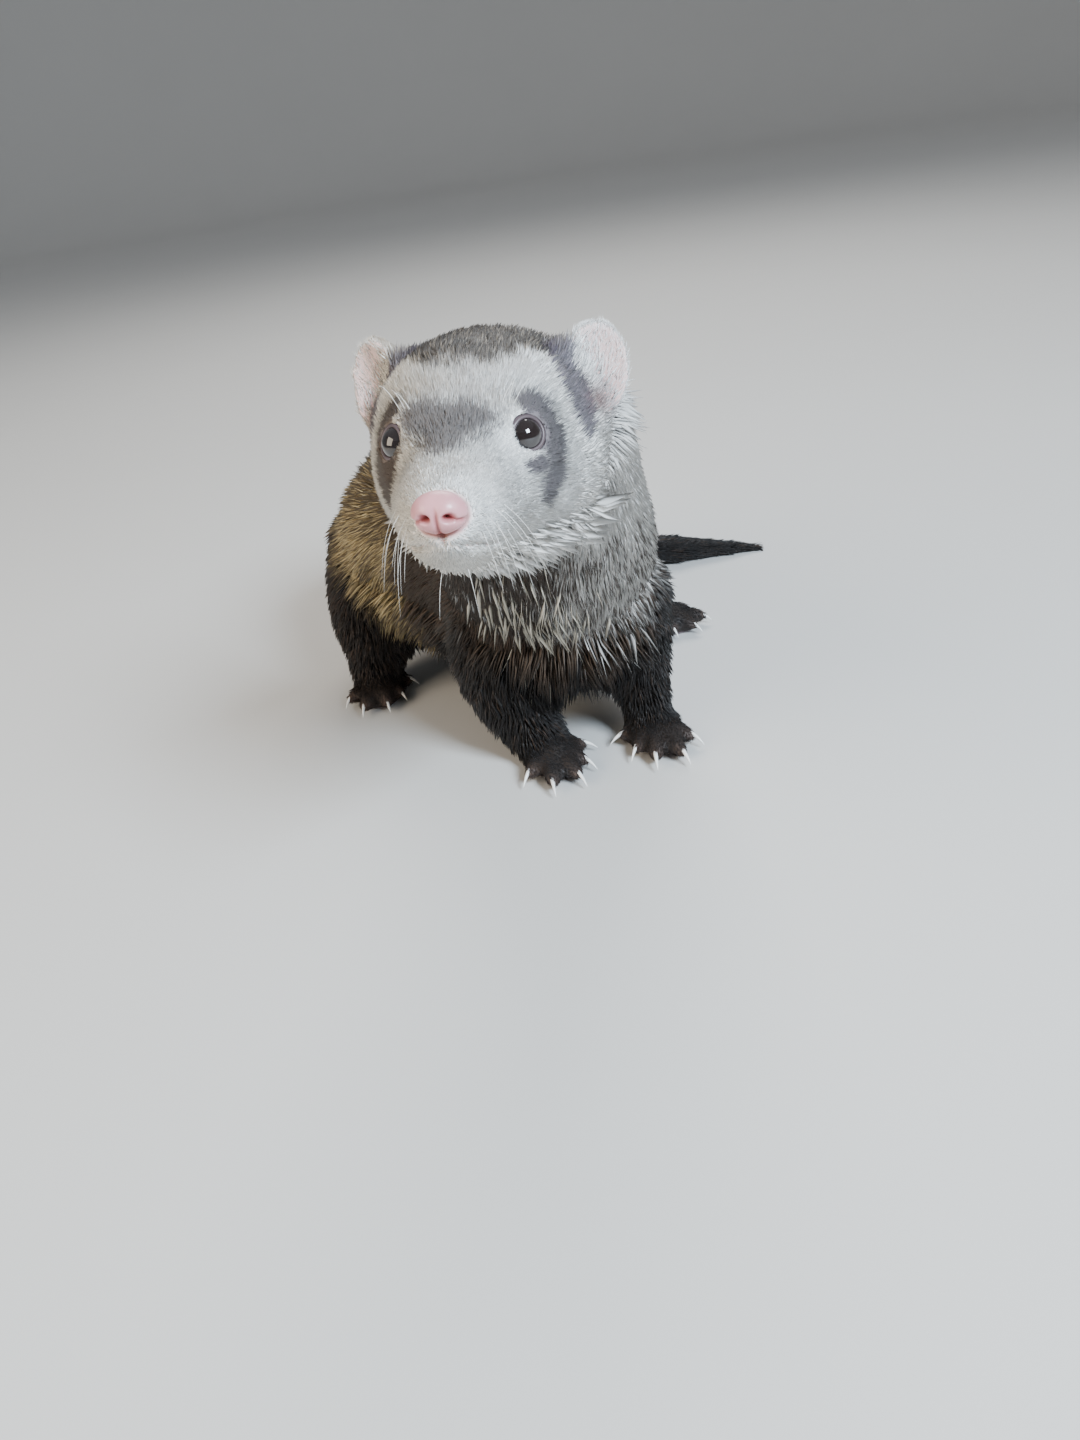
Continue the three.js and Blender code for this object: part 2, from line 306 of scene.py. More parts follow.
def closed_over(mesh, step):
    """The outer surface of a mesh as small even faces."""
    rough = add_object("rough", mesh)
    remesh = rough.modifiers.new("closed", "REMESH")
    remesh.mode = "VOXEL"
    remesh.voxel_size = step
    graph = bpy.context.evaluated_depsgraph_get()
    result = bpy.data.meshes.new_from_object(rough.evaluated_get(graph))
    bpy.data.objects.remove(rough)
    return result


def finer_face(mesh):
    """Halves the faces of the muzzle and round the eyes, and turns every face into triangles."""
    fine = bmesh.new()
    fine.from_mesh(mesh)
    fine.verts.ensure_lookup_table()
    x, y, z = in_head(np.array([v.co for v in fine.verts])).T
    front = (y < FINE_BACK) & (np.abs(x) < FINE_WIDE) & (z > FINE_LOW) & (z < FINE_HIGH)
    edges = [e for e in fine.edges if front[e.verts[0].index] and front[e.verts[1].index]]
    bmesh.ops.subdivide_edges(fine, edges=edges, cuts=1, use_grid_fill=True)
    bmesh.ops.triangulate(fine, faces=fine.faces)
    fine.to_mesh(mesh)
    fine.free()


def share_of_parts(points, edges):
    """For each point, how much it belongs to each part of the flesh, fading over from one to the next."""
    nearest = np.full((len(points), len(FLESH)), 1.0)
    for i, name in enumerate(FLESH):
        solid = NODES[name].data
        tree = BVHTree.FromPolygons([v.co for v in solid.vertices], [p.vertices for p in solid.polygons])
        low, high = (np.array(c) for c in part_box(name))
        close = np.flatnonzero(((points > low - PARTS_MARGIN) & (points < high + PARTS_MARGIN)).all(1))
        for j in close:
            nearest[j, i] = tree.find_nearest(Vector(points[j]))[3]
    shares = np.zeros_like(nearest)
    shares[np.arange(len(points)), nearest.argmin(1)] = 1
    return smoothed(shares, edges, PARTS_BLUR)


skin_mesh = closed_over(joined_flesh(), SKIN_STEP)
skin_mesh.name = "skin"
finer_face(skin_mesh)
skin_edges = read(skin_mesh.edges, "vertices", 2, np.int32)
outer = points_of(skin_mesh)
outer_head = in_head(outer)
part_share = share_of_parts(outer, skin_edges)
share = {name: part_share[:, i] for i, name in enumerate(FLESH)}
to_eye = np.linalg.norm(folded(outer_head) - EYE, axis=1)
ears_share = share["ear_left"] + share["ear_right"]
paw_share = sum(share[name] for name in PAWS)
leg_share = sum(share[name] for name in LEGS)
tail_share = sum(share[name] for name in TAIL)


def by_part(column):
    return sum(share[name] * COAT[name][column] for name in FLESH)


# On the head the coat is shortest on the muzzle, at the lids and before the ears, and longer on the crown,
# the cheeks and the jaw.
EAR_HOLLOW, EAR_HOLLOW_REACH = [20.0, 39.5, 9.0], [3.6, 5.0, 5.0]
y_outer, z_outer = outer_head[:, 1], outer_head[:, 2]
face_growth = 0.34 + 0.66 * ramp(y_outer, 6, 24)
face_growth = face_growth * (0.3 + 0.7 * ramp(to_eye, 4.2, 9.0)) * (1 + 0.75 * ramp(y_outer, 26, 42))
face_growth = face_growth * (1 - 0.62 * blob(folded(outer_head), EAR_HOLLOW, EAR_HOLLOW_REACH))
face_growth = face_growth * (1 + 0.8 * ramp(z_outer, -7.5, -11.5) * ramp(y_outer, 5, 13))
head_growth = 1 + share["head"] * (face_growth - 1)
coat_depth = by_part(DEPTH) * head_growth * ramp(outer[:, 2] / MM, 0.4, 1.6)
hair_length = by_part(LENGTH) * head_growth

# The skin is smoothed, less so where its form is crisp, and drawn in by the depth of the coat.
crisp = np.maximum.reduce([
    share["head"] * ramp(y_outer, 32, 20), *[share[name] for name in PAWS], 0.7 * ears_share])
give = SKIN_GIVE * (1 - CRISP_HOLD * crisp)
inner = smoothed(outer, skin_edges, OUTER_BLUR, give)
set_points(skin_mesh, inner)
inner = inner - normals_of(skin_mesh) * (coat_depth * MM)[:, None]
inner = smoothed(inner, skin_edges, INNER_BLUR, give)

# Each toe is a line at the height of its top, from its claw half of the way to the middle of its paw.
TOE_TOP, TOE_LENGTH = np.array([0, 0, 3.2]), 0.5
TOE_RAISED, TOE_SUNK, TOE_ROUND = 1.0, 0.5, 1.45
TOE_LINES = []
for paw in PAWS:
    for claw in claws_of(paw):
        claw_place, paw_place = (middle_of(node) / MM * [1, 1, 0] + TOE_TOP for node in (claw, paw))
        TOE_LINES.append(np.array([claw_place, claw_place + TOE_LENGTH * (paw_place - claw_place)]))


def to_toes(p):
    return np.minimum.reduce([near_line(p, line) for line in TOE_LINES])


set_points(skin_mesh, inner)
to_claws = np.minimum.reduce([np.linalg.norm(inner / MM - line[0], axis=1) for line in TOE_LINES])
on_paw = paw_share * ramp(to_claws, 10.0, 6.0)
toe_form = (TOE_RAISED + TOE_SUNK) * np.exp(-(to_toes(inner / MM) / TOE_ROUND) ** 2) - TOE_SUNK
inner = inner + normals_of(skin_mesh) * (on_paw * toe_form * MM)[:, None]

# The mouth's line, as its left half from the middle to the corner, and the groove from it up to the nose.
MOUTH_HALF = np.array([
    [0, -0.6, -4.9], [2.4, 0.2, -5.4], [5.3, 3.2, -6.3],
    [8.2, 7.9, -7.0], [10.6, 13.6, -7.4], [12.1, 17.4, -7.0]])
MOUTH_DEPTH, MOUTH_WIDTH = 1.0, 0.6
GROOVE_DEPTH, GROOVE_WIDTH = 0.5, 0.5
inner_head = in_head(inner)
to_mouth = near_line(folded(inner_head), MOUTH_HALF)
x_inner, y_inner, z_inner = inner_head.T
philtrum = np.exp(-(x_inner / GROOVE_WIDTH) ** 2) * ramp(z_inner, -6, -4.4) * ramp(y_inner, 4, 2)
set_points(skin_mesh, inner)
sunk = MOUTH_DEPTH * np.exp(-(to_mouth / MOUTH_WIDTH) ** 2) + GROOVE_DEPTH * philtrum
inner = inner - normals_of(skin_mesh) * (share["head"] * sunk * MM)[:, None]
inner[:, 2] = np.maximum(inner[:, 2], 0.0)
set_points(skin_mesh, inner)
skin_normals = normals_of(skin_mesh)
inner_head = in_head(inner)
skin_triangles = read(skin_mesh.polygons, "vertices", 3, np.int32)
print("skin points", len(inner), "triangles", len(skin_triangles))


# Markings, and painted shade and painted warm light on the coat

WHITE, CREAM = np.array([0.90, 0.89, 0.87]), np.array([0.82, 0.73, 0.57])
BRIDGE, EYE_PATCH, EYE_PATCH_WARM = [0.105, 0.085, 0.085], [0.075, 0.055, 0.07], [0.065, 0.04, 0.028]
CROWN_UNDER, CROWN_TIP, CROWN_STREAK = [0.11, 0.088, 0.066], [0.034, 0.026, 0.021], [0.36, 0.31, 0.25]
EAR_ROOT = [0.075, 0.055, 0.085]
PALE_UNDER, FROST, SMOKE = [0.36, 0.32, 0.27], [0.72, 0.71, 0.69], [0.085, 0.068, 0.06]
THROAT, THROAT_TIP = [0.10, 0.064, 0.04], [0.045, 0.03, 0.021]
BUFF, BUFF_TIP, SABLE = [0.46, 0.345, 0.165], [0.52, 0.41, 0.22], [0.05, 0.034, 0.022]
SOOT, SOOT_TIP, SOOT_BROWN = [0.014, 0.011, 0.010], [0.008, 0.0065, 0.0068], [0.045, 0.027, 0.018]
TOE_BROWN, TOE_HALF_WIDTH = [0.20, 0.135, 0.11], 1.35
BARE_PINK, BARE_RED, BARE_LILAC = [0.78, 0.60, 0.57], [0.46, 0.15, 0.13], [0.40, 0.31, 0.34]
EAR_PINK, NOSE_EDGE_PINK = [0.74, 0.50, 0.47], [0.62, 0.36, 0.35]
STRAND_STRAW = [0.74, 0.68, 0.56]

# Dark marks as centres and reaches in the head's frame.
PATCH_LEFT = [
    ([10.9, 20.9, 12.4], 2.2), ([13.2, 22.3, 11.2], 2.4), ([14.6, 22.4, 8.0], 2.2), ([15.3, 22.3, 5.2], 2.3),
    ([12.6, 20.6, 9.4], 1.8), ([13.4, 20.6, 5.6], 1.7), ([15.2, 21.6, 2.6], 2.3), ([14.2, 19.2, -0.6], 2.8),
    ([13.6, 18.4, -2.2], 1.9), ([11.6, 15.6, 2.6], 1.3), ([13.0, 17.6, 3.0], 1.5)]
PATCH_RIGHT = [
    ([-11.6, 21.2, 12.4], 2.6), ([-14.2, 22.2, 9.2], 3.0), ([-14.8, 21.4, 4.6], 3.3),
    ([-13.6, 18.4, 1.6], 3.6), ([-11.4, 15.8, 3.4], 2.5), ([-12.8, 16.8, -0.8], 2.6),
    ([-9.0, 17.0, 6.5], 1.9)]
BRIDGE_MARKS = [
    ([-1.8, 14.6, 10.8], [6.2, 4.8, 4.4], 1.0), ([-1.2, 11.0, 8.2], [3.8, 3.0, 3.0], 0.7),
    ([4.8, 15.6, 10.6], [3.6, 3.8, 3.4], 0.62), ([-7.0, 17.4, 12.0], [3.2, 3.6, 3.4], 0.8)]
EAR_ROOT_MARKS = [
    ([13.9, 38.0, 19.4], 3.2), ([15.8, 34.0, 16.6], 3.6), ([17.2, 31.4, 12.8], 3.8), ([18.6, 30.6, 8.4], 3.2),
    ([19.2, 31.6, 4.8], 2.2), ([15.4, 38.0, 17.8], 2.9), ([17.4, 35.2, 13.8], 3.0), ([18.8, 34.4, 9.8], 2.8)]
EAR_DEEP, EAR_DEEP_REACH, EAR_DEEP_RED = [20.6, 38.8, 9.4], [2.4, 6.5, 3.0], [0.20, 0.05, 0.045]


def mixed(base, colour, amount):
    return base + (np.asarray(colour) - base) * np.asarray(amount)[:, None]


def sum_of_blobs(points, marks):
    return np.clip(sum(blob(points, centre, reach) for centre, reach in marks), 0, 1)


class Speckle:
    """Turns soft edges into hairs of one colour, the other or between. With no draw the edges stay soft."""

    def __init__(self, draw=None):
        self.draw = draw

    def edge(self, amount, low=0.3, high=0.7):
        if self.draw is None:
            return ramp(amount, low, high)
        even = ramp(amount, low, high)
        return np.clip(even + 3.0 * even * (1 - even) * self.draw.uniform(-1, 1, len(amount)), 0, 1)

    def some(self, share_of_hairs):
        """1 for about that share of the hairs and 0 for the others."""
        if self.draw is None:
            return np.asarray(share_of_hairs) * 0.6
        return (self.draw.uniform(size=len(share_of_hairs)) < share_of_hairs).astype(float)


def head_colours(h, speckle):
    x, y, z = h.T
    creamy = 0.55 * ramp(x, 3, -13) + 0.25 * ramp(y, 24, 6) * ramp(z, -3, -9)
    root = mixed(np.tile(WHITE * 0.94, (len(h), 1)), CREAM, 0.5 * creamy + 0.25)
    tip = mixed(np.tile(WHITE, (len(h), 1)), CREAM, creamy)
    bridge = sum(amount * blob(h, centre, reach) for centre, reach, amount in BRIDGE_MARKS)
    bridge = speckle.edge(bridge + 0.08 * waves(h, 5.0, 3), 0.12, 0.95) * ramp(np.abs(x + 1), 12.5, 9.0)
    root, tip = mixed(root, BRIDGE, 0.85 * bridge), mixed(tip, BRIDGE, 0.86 * bridge)
    left = speckle.edge(sum_of_blobs(h, PATCH_LEFT) + 0.17 * waves(h, 4.0, 4), 0.14, 0.84)
    right = speckle.edge(sum_of_blobs(h, PATCH_RIGHT) + 0.1 * waves(h, 4.0, 5), 0.14, 0.8)
    root, tip = mixed(root, EYE_PATCH, 0.9 * left), mixed(tip, EYE_PATCH, 0.88 * left)
    root, tip = mixed(root, EYE_PATCH_WARM, 0.95 * right), mixed(tip, EYE_PATCH_WARM, 0.95 * right)
    behind = y - 23.0 - 0.03 * x ** 2 - 0.0003 * x ** 4 + 1.4 * waves(h, 6.0, 6)
    crown = speckle.edge(ramp(behind, -2.6, 4.2) * ramp(z, 9, 15), 0.1, 0.9)
    streak = speckle.some(np.full(len(h), 0.2))
    crown_tip = mixed(np.tile(CROWN_TIP, (len(h), 1)), CROWN_STREAK, streak)
    root, tip = mixed(root, CROWN_UNDER, crown), mixed(tip, crown_tip, crown)
    ears = speckle.edge(sum_of_blobs(folded(h), EAR_ROOT_MARKS), 0.32, 0.7)
    return mixed(root, EAR_ROOT, 0.9 * ears), mixed(tip, EAR_ROOT, 0.85 * ears)


def neck_colours(p, h, speckle):
    """Frosted grey on the animal's left, dark brown on the throat and its right, sable behind the crown."""
    x, y, z = p.T
    n = len(p)
    side = ramp(x + 3 * waves(p, 14.0, 7), -15, -1)
    root = mixed(np.tile(THROAT, (n, 1)), PALE_UNDER, side)
    near_head = ramp(z + 2 * waves(p, 9.0, 13), 71, 82) * ramp(x, -7, 3)
    root = mixed(root, WHITE * 0.8, 0.85 * near_head)
    patches = 0.5 + 0.5 * waves(p, 11.0, 8)
    frosted = np.clip(0.05 + side * (0.34 + 0.45 * patches) + 0.75 * near_head, 0, 1)
    tip = mixed(mixed(np.tile(THROAT_TIP, (n, 1)), SMOKE, side), FROST, speckle.some(frosted))
    nape = speckle.edge(ramp(y, -52, -34) * ramp(h[:, 2], 4, 14) * ramp(x, 9, 3))
    return mixed(root, BUFF, 0.7 * nape), mixed(tip, SABLE, 0.85 * nape)


def torso_colours(p, speckle):
    """Yellowish buff under dark guard hairs, darker on the back, black-brown below, and painted shade that
    darkens the animal's left side.
    """
    x, y, z = p.T
    n = len(p)
    root = np.tile(BUFF, (n, 1))
    # Painted shade: towards the animal's left side the guard hairs grow darker and the undercoat turns dark
    # brown.
    away = ramp(x, 4, 20)
    guard = np.clip(0.36 + 0.5 * ramp(z, 50, 66) + 0.16 * waves(p, 16.0, 9) + 0.4 * away, 0, 1)
    tip = mixed(np.tile(BUFF_TIP, (n, 1)), SABLE, speckle.some(guard))
    root = mixed(root, THROAT, np.clip(0.75 * away + 0.55 * ramp(z, 52, 70), 0, 1))
    low = speckle.edge(ramp(z + 4 * waves(p, 12.0, 10), 40 - 8 * ramp(y, 0, 20), 22))
    front = speckle.edge(ramp(x - 0.8 * y + 4 * waves(p, 12.0, 11), -76, -42), 0.1, 0.9)
    root = mixed(mixed(root, THROAT, front), SOOT, low)
    tip = mixed(mixed(tip, THROAT_TIP, front), SOOT_TIP, low)
    frost_front = speckle.some(0.35 * front * ramp(z, 30, 44) * ramp(x, -8, 2))
    return root, mixed(tip, FROST, frost_front)


def dark_colours(p, speckle):
    """Black-brown legs, paws and tail, with a few brown hairs and browner toes, and more brown on the
    animal's right side as painted warm light.
    """
    n = len(p)
    # Brown hairs here and there are real; the extra brown towards the animal's right side is painted warm
    # light.
    brown = np.clip(0.3 + 0.25 * waves(p, 8.0, 12) + 0.5 * ramp(p[:, 0], -40, -56), 0, 1)
    root = mixed(np.tile(SOOT, (n, 1)), SOOT_BROWN, 0.6 * brown)
    tip = mixed(np.tile(SOOT_TIP, (n, 1)), SOOT_BROWN, speckle.some(0.45 * brown))
    toes = np.exp(-(to_toes(p) / TOE_HALF_WIDTH) ** 2)
    # The toes' brown is stronger on the animal's right side: painted warm light.
    toes = toes * (0.5 + 0.4 * ramp(p[:, 0], -40, -50))
    return mixed(root, TOE_BROWN, toes), mixed(tip, TOE_BROWN, toes)


def ear_colours(h, speckle):
    white = np.tile(WHITE * 0.97, (len(h), 1))
    root = mixed(white, CREAM, 0.4 * ramp(h[:, 0], 0, -10))
    low = 0.5 * ramp(h[:, 2] - EAR[2], -3, -8)
    dark = speckle.edge(np.maximum(sum_of_blobs(folded(h), EAR_ROOT_MARKS), low), 0.2, 0.8)
    return mixed(root, EAR_ROOT, 0.85 * dark), mixed(root, EAR_ROOT, 0.8 * dark)


def coat_colours(points, shares, draw=None):
    """The colours at root and tip of hairs that grow at these points."""
    speckle = Speckle(draw)
    p, h = points / MM, in_head(points)
    sets = {
        "head": head_colours(h, speckle), "neck": neck_colours(p, h, speckle),
        "torso": torso_colours(p, speckle), "dark": dark_colours(p, speckle),
        "ear": ear_colours(h, speckle)}
    weight = {key: 0.0 for key in sets}
    for i, name in enumerate(FLESH):
        key = name if name in sets else "ear" if name in EARS else "dark"
        weight[key] = weight[key] + shares[:, i]
    if draw is not None:
        for key, value in weight.items():
            between = (value > 0.02) * (value < 0.98)
            weight[key] = np.clip(value + 0.25 * draw.uniform(-1, 1, len(p)) * between, 0, 1)
    total = sum(weight.values())
    root = sum(weight[key][:, None] * sets[key][0] for key in sets) / total[:, None]
    tip = sum(weight[key][:, None] * sets[key][1] for key in sets) / total[:, None]
    deep = 0.95 * blob(folded(h), EAR_DEEP, EAR_DEEP_REACH)
    return mixed(root, EAR_DEEP_RED, deep), mixed(tip, EAR_DEEP_RED, deep)


# Bare places on the skin: the cups of the ears, the lips, round the nose, the groove under it and the soles.

LIP_WIDTH = 0.75
NOSE_SURROUND = 0.6
EAR_CUP, EAR_CUP_REACH = [0, 0, -3.6], [3.0, 1, 3.4]


def inside_of_ear(h, normals):
    """1 where the skin lies in the cup of an ear, and each point's place from the middle of its ear."""
    local = folded(h) - EAR
    left = (normals @ HEAD_AXES.T) * np.where(h[:, :1] > 0, [1, 1, 1], [-1, 1, 1])
    to_rim = np.linalg.norm(local * [1 / EAR_WIDE, 0, 1 / EAR_TALL], axis=1)
    return ramp(left @ EAR_AIM, 0.15, 0.55) * ramp(to_rim, 1.0, 0.82), local


ear_inside, ear_local = inside_of_ear(inner_head, skin_normals)
ear_inside = ear_inside * ramp(ears_share, 0.2, 0.6)
lips = np.exp(-(to_mouth / LIP_WIDTH) ** 2) * share["head"]
from_nose = (inner_head - [0, NOSE_MIDDLE_Y, 0]) / (NOSE_REACH + NOSE_SURROUND)
nose_edge = ramp(np.linalg.norm(from_nose, axis=1), 1.14, 0.98)
sole = ramp(inner[:, 2] / MM, 1.1, 0.4) * paw_share
bare_share = np.clip(np.maximum.reduce([sole, 0.8 * lips, nose_edge, philtrum * share["head"]]), 0, 1)


def paint_skin():
    root, tip = coat_colours(inner, part_share)
    colour = 0.55 * root + 0.45 * tip
    colour = mixed(colour, BARE_PINK, 0.12 * share["head"] * ramp(inner_head[:, 1], 24, 8))
    colour = mixed(colour, EAR_PINK, 0.85 * ear_inside)
    deep = blob(ear_local * [1, 0, 1], EAR_CUP, EAR_CUP_REACH)
    colour = mixed(colour, BARE_RED, 0.85 * deep * ear_inside)
    colour = mixed(colour, NOSE_EDGE_PINK, 0.85 * nose_edge)
    colour = mixed(colour, BARE_RED, np.clip(0.75 * lips + 0.8 * philtrum, 0, 0.9))
    colour = mixed(colour, BARE_LILAC, 0.8 * sole)
    paint_points(skin_mesh, colour)


paint_skin()


# Materials

def new_material(name):
    material = bpy.data.materials.new(name)
    material.use_nodes = True
    return material, material.node_tree, material.node_tree.nodes["Principled BSDF"]


def add_node(tree, kind, inputs=(), **settings):
    node = tree.nodes.new(kind)
    for key, value in settings.items():
        setattr(node, key, value)
    for key, value in dict(inputs).items():
        node.inputs[key].default_value = value
    return node


def noise_of(tree, scale, detail=3.0):
    place = add_node(tree, "ShaderNodeTexCoord")
    noise = add_node(tree, "ShaderNodeTexNoise", {"Scale": scale, "Detail": detail})
    tree.links.new(place.outputs["Object"], noise.inputs["Vector"])
    return noise


def surface(name, fine, coarse, tint, rough, relief, distance, colour=None):
    """A material with varied colour, roughness and relief, and its shader. fine and coarse are how many
    grains lie on a metre, tint is how far the colour is lightened and darkened, and distance is the relief's
    height."""
    material, tree, shader = new_material(name)
    link = tree.links.new
    if colour is None:
        base = add_node(tree, "ShaderNodeAttribute", attribute_name="coat").outputs["Color"]
    else:
        base = add_node(tree, "ShaderNodeRGB").outputs["Color"]
        base.default_value = colour
    broad = noise_of(tree, coarse)
    shade = add_node(tree, "ShaderNodeMapRange", {"To Min": 1 - tint, "To Max": 1 + tint})
    link(broad.outputs["Fac"], shade.inputs["Value"])
    varied = add_node(tree, "ShaderNodeVectorMath", operation="SCALE")
    link(base, varied.inputs[0])
    link(shade.outputs["Result"], varied.inputs["Scale"])
    link(varied.outputs["Vector"], shader.inputs["Base Color"])
    small = noise_of(tree, fine, 4.0)
    roughness = add_node(tree, "ShaderNodeMapRange", {"To Min": rough[0], "To Max": rough[1]})
    link(small.outputs["Fac"], roughness.inputs["Value"])
    link(roughness.outputs["Result"], shader.inputs["Roughness"])
    raised_grain = add_node(tree, "ShaderNodeBump", {"Strength": relief, "Distance": distance * MM})
    link(small.outputs["Fac"], raised_grain.inputs["Height"])
    link(raised_grain.outputs["Normal"], shader.inputs["Normal"])
    return material, shader


def with_levels(made, levels):
    """The material of a surface, with further levels set on its shader."""
    material, shader = made
    for socket, level in levels.items():
        shader.inputs[socket].default_value = level
    return material


def skin_material():
    return with_levels(surface("skin", 900, 90, 0.18, (0.5, 0.75), 0.35, 0.15), {"Specular IOR Level": 0.35})


def hair_material():
    return with_levels(surface("hair", 2600, 260, 0.2, (0.42, 0.66), 0.25, 0.05),
                       {"Specular IOR Level": 0.28, "Sheen Weight": 0.05})


skin_mesh.materials.clear()
skin_mesh.materials.append(skin_material())
skin = add_object("skin", skin_mesh)


UNWRAP_ANGLE, UNWRAP_GAP = math.radians(66), 0.002


def unwrap_skin():
    bpy.context.view_layer.objects.active = skin
    skin.select_set(True)
    bpy.ops.object.mode_set(mode="EDIT")
    bpy.ops.mesh.select_all(action="SELECT")
    bpy.ops.uv.smart_project(angle_limit=UNWRAP_ANGLE, island_margin=UNWRAP_GAP)
    bpy.ops.object.mode_set(mode="OBJECT")
    skin.select_set(False)
    layer = skin_mesh.uv_layers.active
    layer.name = "OFBake"
    return read(layer.uv, "vector", 2).reshape(-1, 3, 2).astype(float)


skin_uv = unwrap_skin()
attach(skin, BODY)
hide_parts(*FLESH)


# The way the hairs lie

FACE_PARTING = [0, -9, -3]
NECK_LIE, TORSO_LIE, LEG_LIE = [0.05, 0.5, -0.85], [0.0, 0.86, -0.5], [0, 0.18, -1]
LIE_BLUR, LIE_LAST_BLUR = 10, 6


def lie_of_coat():
    """The way the hairs point at each point of the skin, along its surface."""
    away_from_nose = unit(inner_head - FACE_PARTING) @ HEAD_AXES
    lie = share["head"][:, None] * away_from_nose
    lie += share["neck"][:, None] * unit(NECK_LIE)
    lie += share["torso"][:, None] * unit(TORSO_LIE)
    for before, name, after in zip(["torso", *TAIL], TAIL, [*TAIL[1:], TAIL[-1]]):
        lie += share[name][:, None] * unit(middle_of(after) - middle_of(before))
    for leg in LEGS:
        lie += share[leg][:, None] * unit(LEG_LIE)
    for paw in PAWS:
        ahead = np.mean([middle_of(claw) for claw in claws_of(paw)], axis=0) - middle_of(paw)
        lie += share[paw][:, None] * unit([ahead[0], ahead[1], -0.25 * np.linalg.norm(ahead)])
    for name, side in SIDES.items():
        base = from_head(mirrored(EAR, side) - [2.0 * side, 2.0, EAR_TALL * 1.1])
        lie += share["ear_" + name][:, None] * unit(inner - base)
    lie = smoothed(unit(lie), skin_edges, LIE_BLUR)
    lie -= (lie * skin_normals).sum(1)[:, None] * skin_normals
    return unit(smoothed(unit(lie), skin_edges, LIE_LAST_BLUR))


skin_lie = lie_of_coat()


# Tufts: slender closed wedges, straight ones of four faces and bent ones of eight

STRAIGHT_FACES = np.array([[0, 1, 3], [2, 0, 3], [2, 3, 1], [0, 2, 1]])
STRAIGHT_SPOTS = np.array([[0, 0], [1, 0], [0.5, 0], [0.5, 1]])
BENT_FACES = np.array([
    [0, 1, 4], [0, 4, 3], [3, 4, 5], [2, 0, 3], [2, 3, 5], [2, 5, 4], [2, 4, 1], [0, 2, 1]])
BENT_SPOTS = np.array([[0, 0], [1, 0], [0.5, 0], [0.15, 0.5], [0.85, 0.5], [0.5, 1]])
ROOT_DEPTH, FLOOR_GAP = 0.12 * MM, 0.05 * MM
WANDER, LOCKS = 0.16, 0.22  # how far single tufts, and whole locks of them, turn from the way the coat lies
LOCK_SIZE, LOCK_SEED = 9.0, 21
WIDTH_SPREAD, LENGTH_SPREAD, SHADE_SPREAD = (0.7, 1.25), (0.72, 1.15), (0.72, 1.14)
RISE_LIMITS, SHORTEST = (0.03, 0.8), 0.1
STEEP_ROOT, STEEPEST, FLAT_TIP = 1.35, 1.3, 0.62
MIDDLE_WIDTH, BASE_DEEP = 0.85, 0.8
# The first of these darkens every tuft towards its root: painted shade deep in the coat.
ROOT_PAINTED_SHADE, TINT_SHARE = 0.7, 0.85
PATCH_UV = 0.003
HAIR = hair_material()
triangle_area = 0.5 * np.linalg.norm(np.cross(
    inner[skin_triangles[:, 1]] - inner[skin_triangles[:, 0]],
    inner[skin_triangles[:, 2]] - inner[skin_triangles[:, 0]]), axis=1) / MM ** 2


def scatter(density, count, draw):
    """Roots spread over the skin in step with the density, as triangles and as weights of their corners."""
    total = np.cumsum(triangle_area * density[skin_triangles].mean(1))
    at = (np.arange(count) + draw.uniform(size=count)) / count * total[-1]
    chosen = np.minimum(np.searchsorted(total, at), len(total) - 1)
    a, b = draw.uniform(size=(2, count))
    over = a + b > 1
    a[over], b[over] = 1 - a[over], 1 - b[over]
    return chosen, np.stack([1 - a - b, a, b], 1)


MIDDLE_PULL = 0.3


def drawn_together(roots, middles, tips, per_clump, pull, draw):
    """Tips and middles pulled towards those of the nearest of a few leading tufts."""
    leaders = draw.choice(len(roots), max(1, len(roots) // per_clump), replace=False)
    tree = KDTree(len(leaders))
    for i, place in enumerate(roots[leaders].tolist()):
        tree.insert(place, i)
    tree.balance()
    lead = leaders[[tree.find(place)[1] for place in roots.tolist()]]
    pull = (pull * draw.uniform(0.5, 1.0, len(roots)))[:, None]
    return middles + MIDDLE_PULL * pull * (middles[lead] - middles), tips + pull * (tips[lead] - tips)


BOX_MARGIN, LEAST_KEPT = 0.3 * MM, 0.05
BOX_LOW, BOX_HIGH = np.array(cad_low) + BOX_MARGIN, np.array(cad_high) - BOX_MARGIN
BOX_LOW[2] = -1.0  # the floor is kept clear in another way


def share_inside(start, *ends):
    """How much of each tuft, from its start, stays inside the box round the solids."""
    keep = np.ones(len(start))
    for end in ends:
        for bound, sign in ((BOX_HIGH, 1), (BOX_LOW, -1)):
            past = sign * (end - bound) > 0
            kept = (bound - start) / np.where(past, end - start, 1)
            keep = np.minimum(keep, np.where(past, kept, 1).min(1))
    return np.clip(keep, LEAST_KEPT, 1)[:, None]


def tufts(base, middle, tip, side, half_width, bent):
    """Points of the tufts, the faces of one tuft, and the places of its points across and along it."""
    if bent:
        out = MIDDLE_WIDTH * side * half_width
        return np.stack([*base, middle - out, middle + out, tip], 1), BENT_FACES, BENT_SPOTS
    return np.stack([*base, tip], 1), STRAIGHT_FACES, STRAIGHT_SPOTS


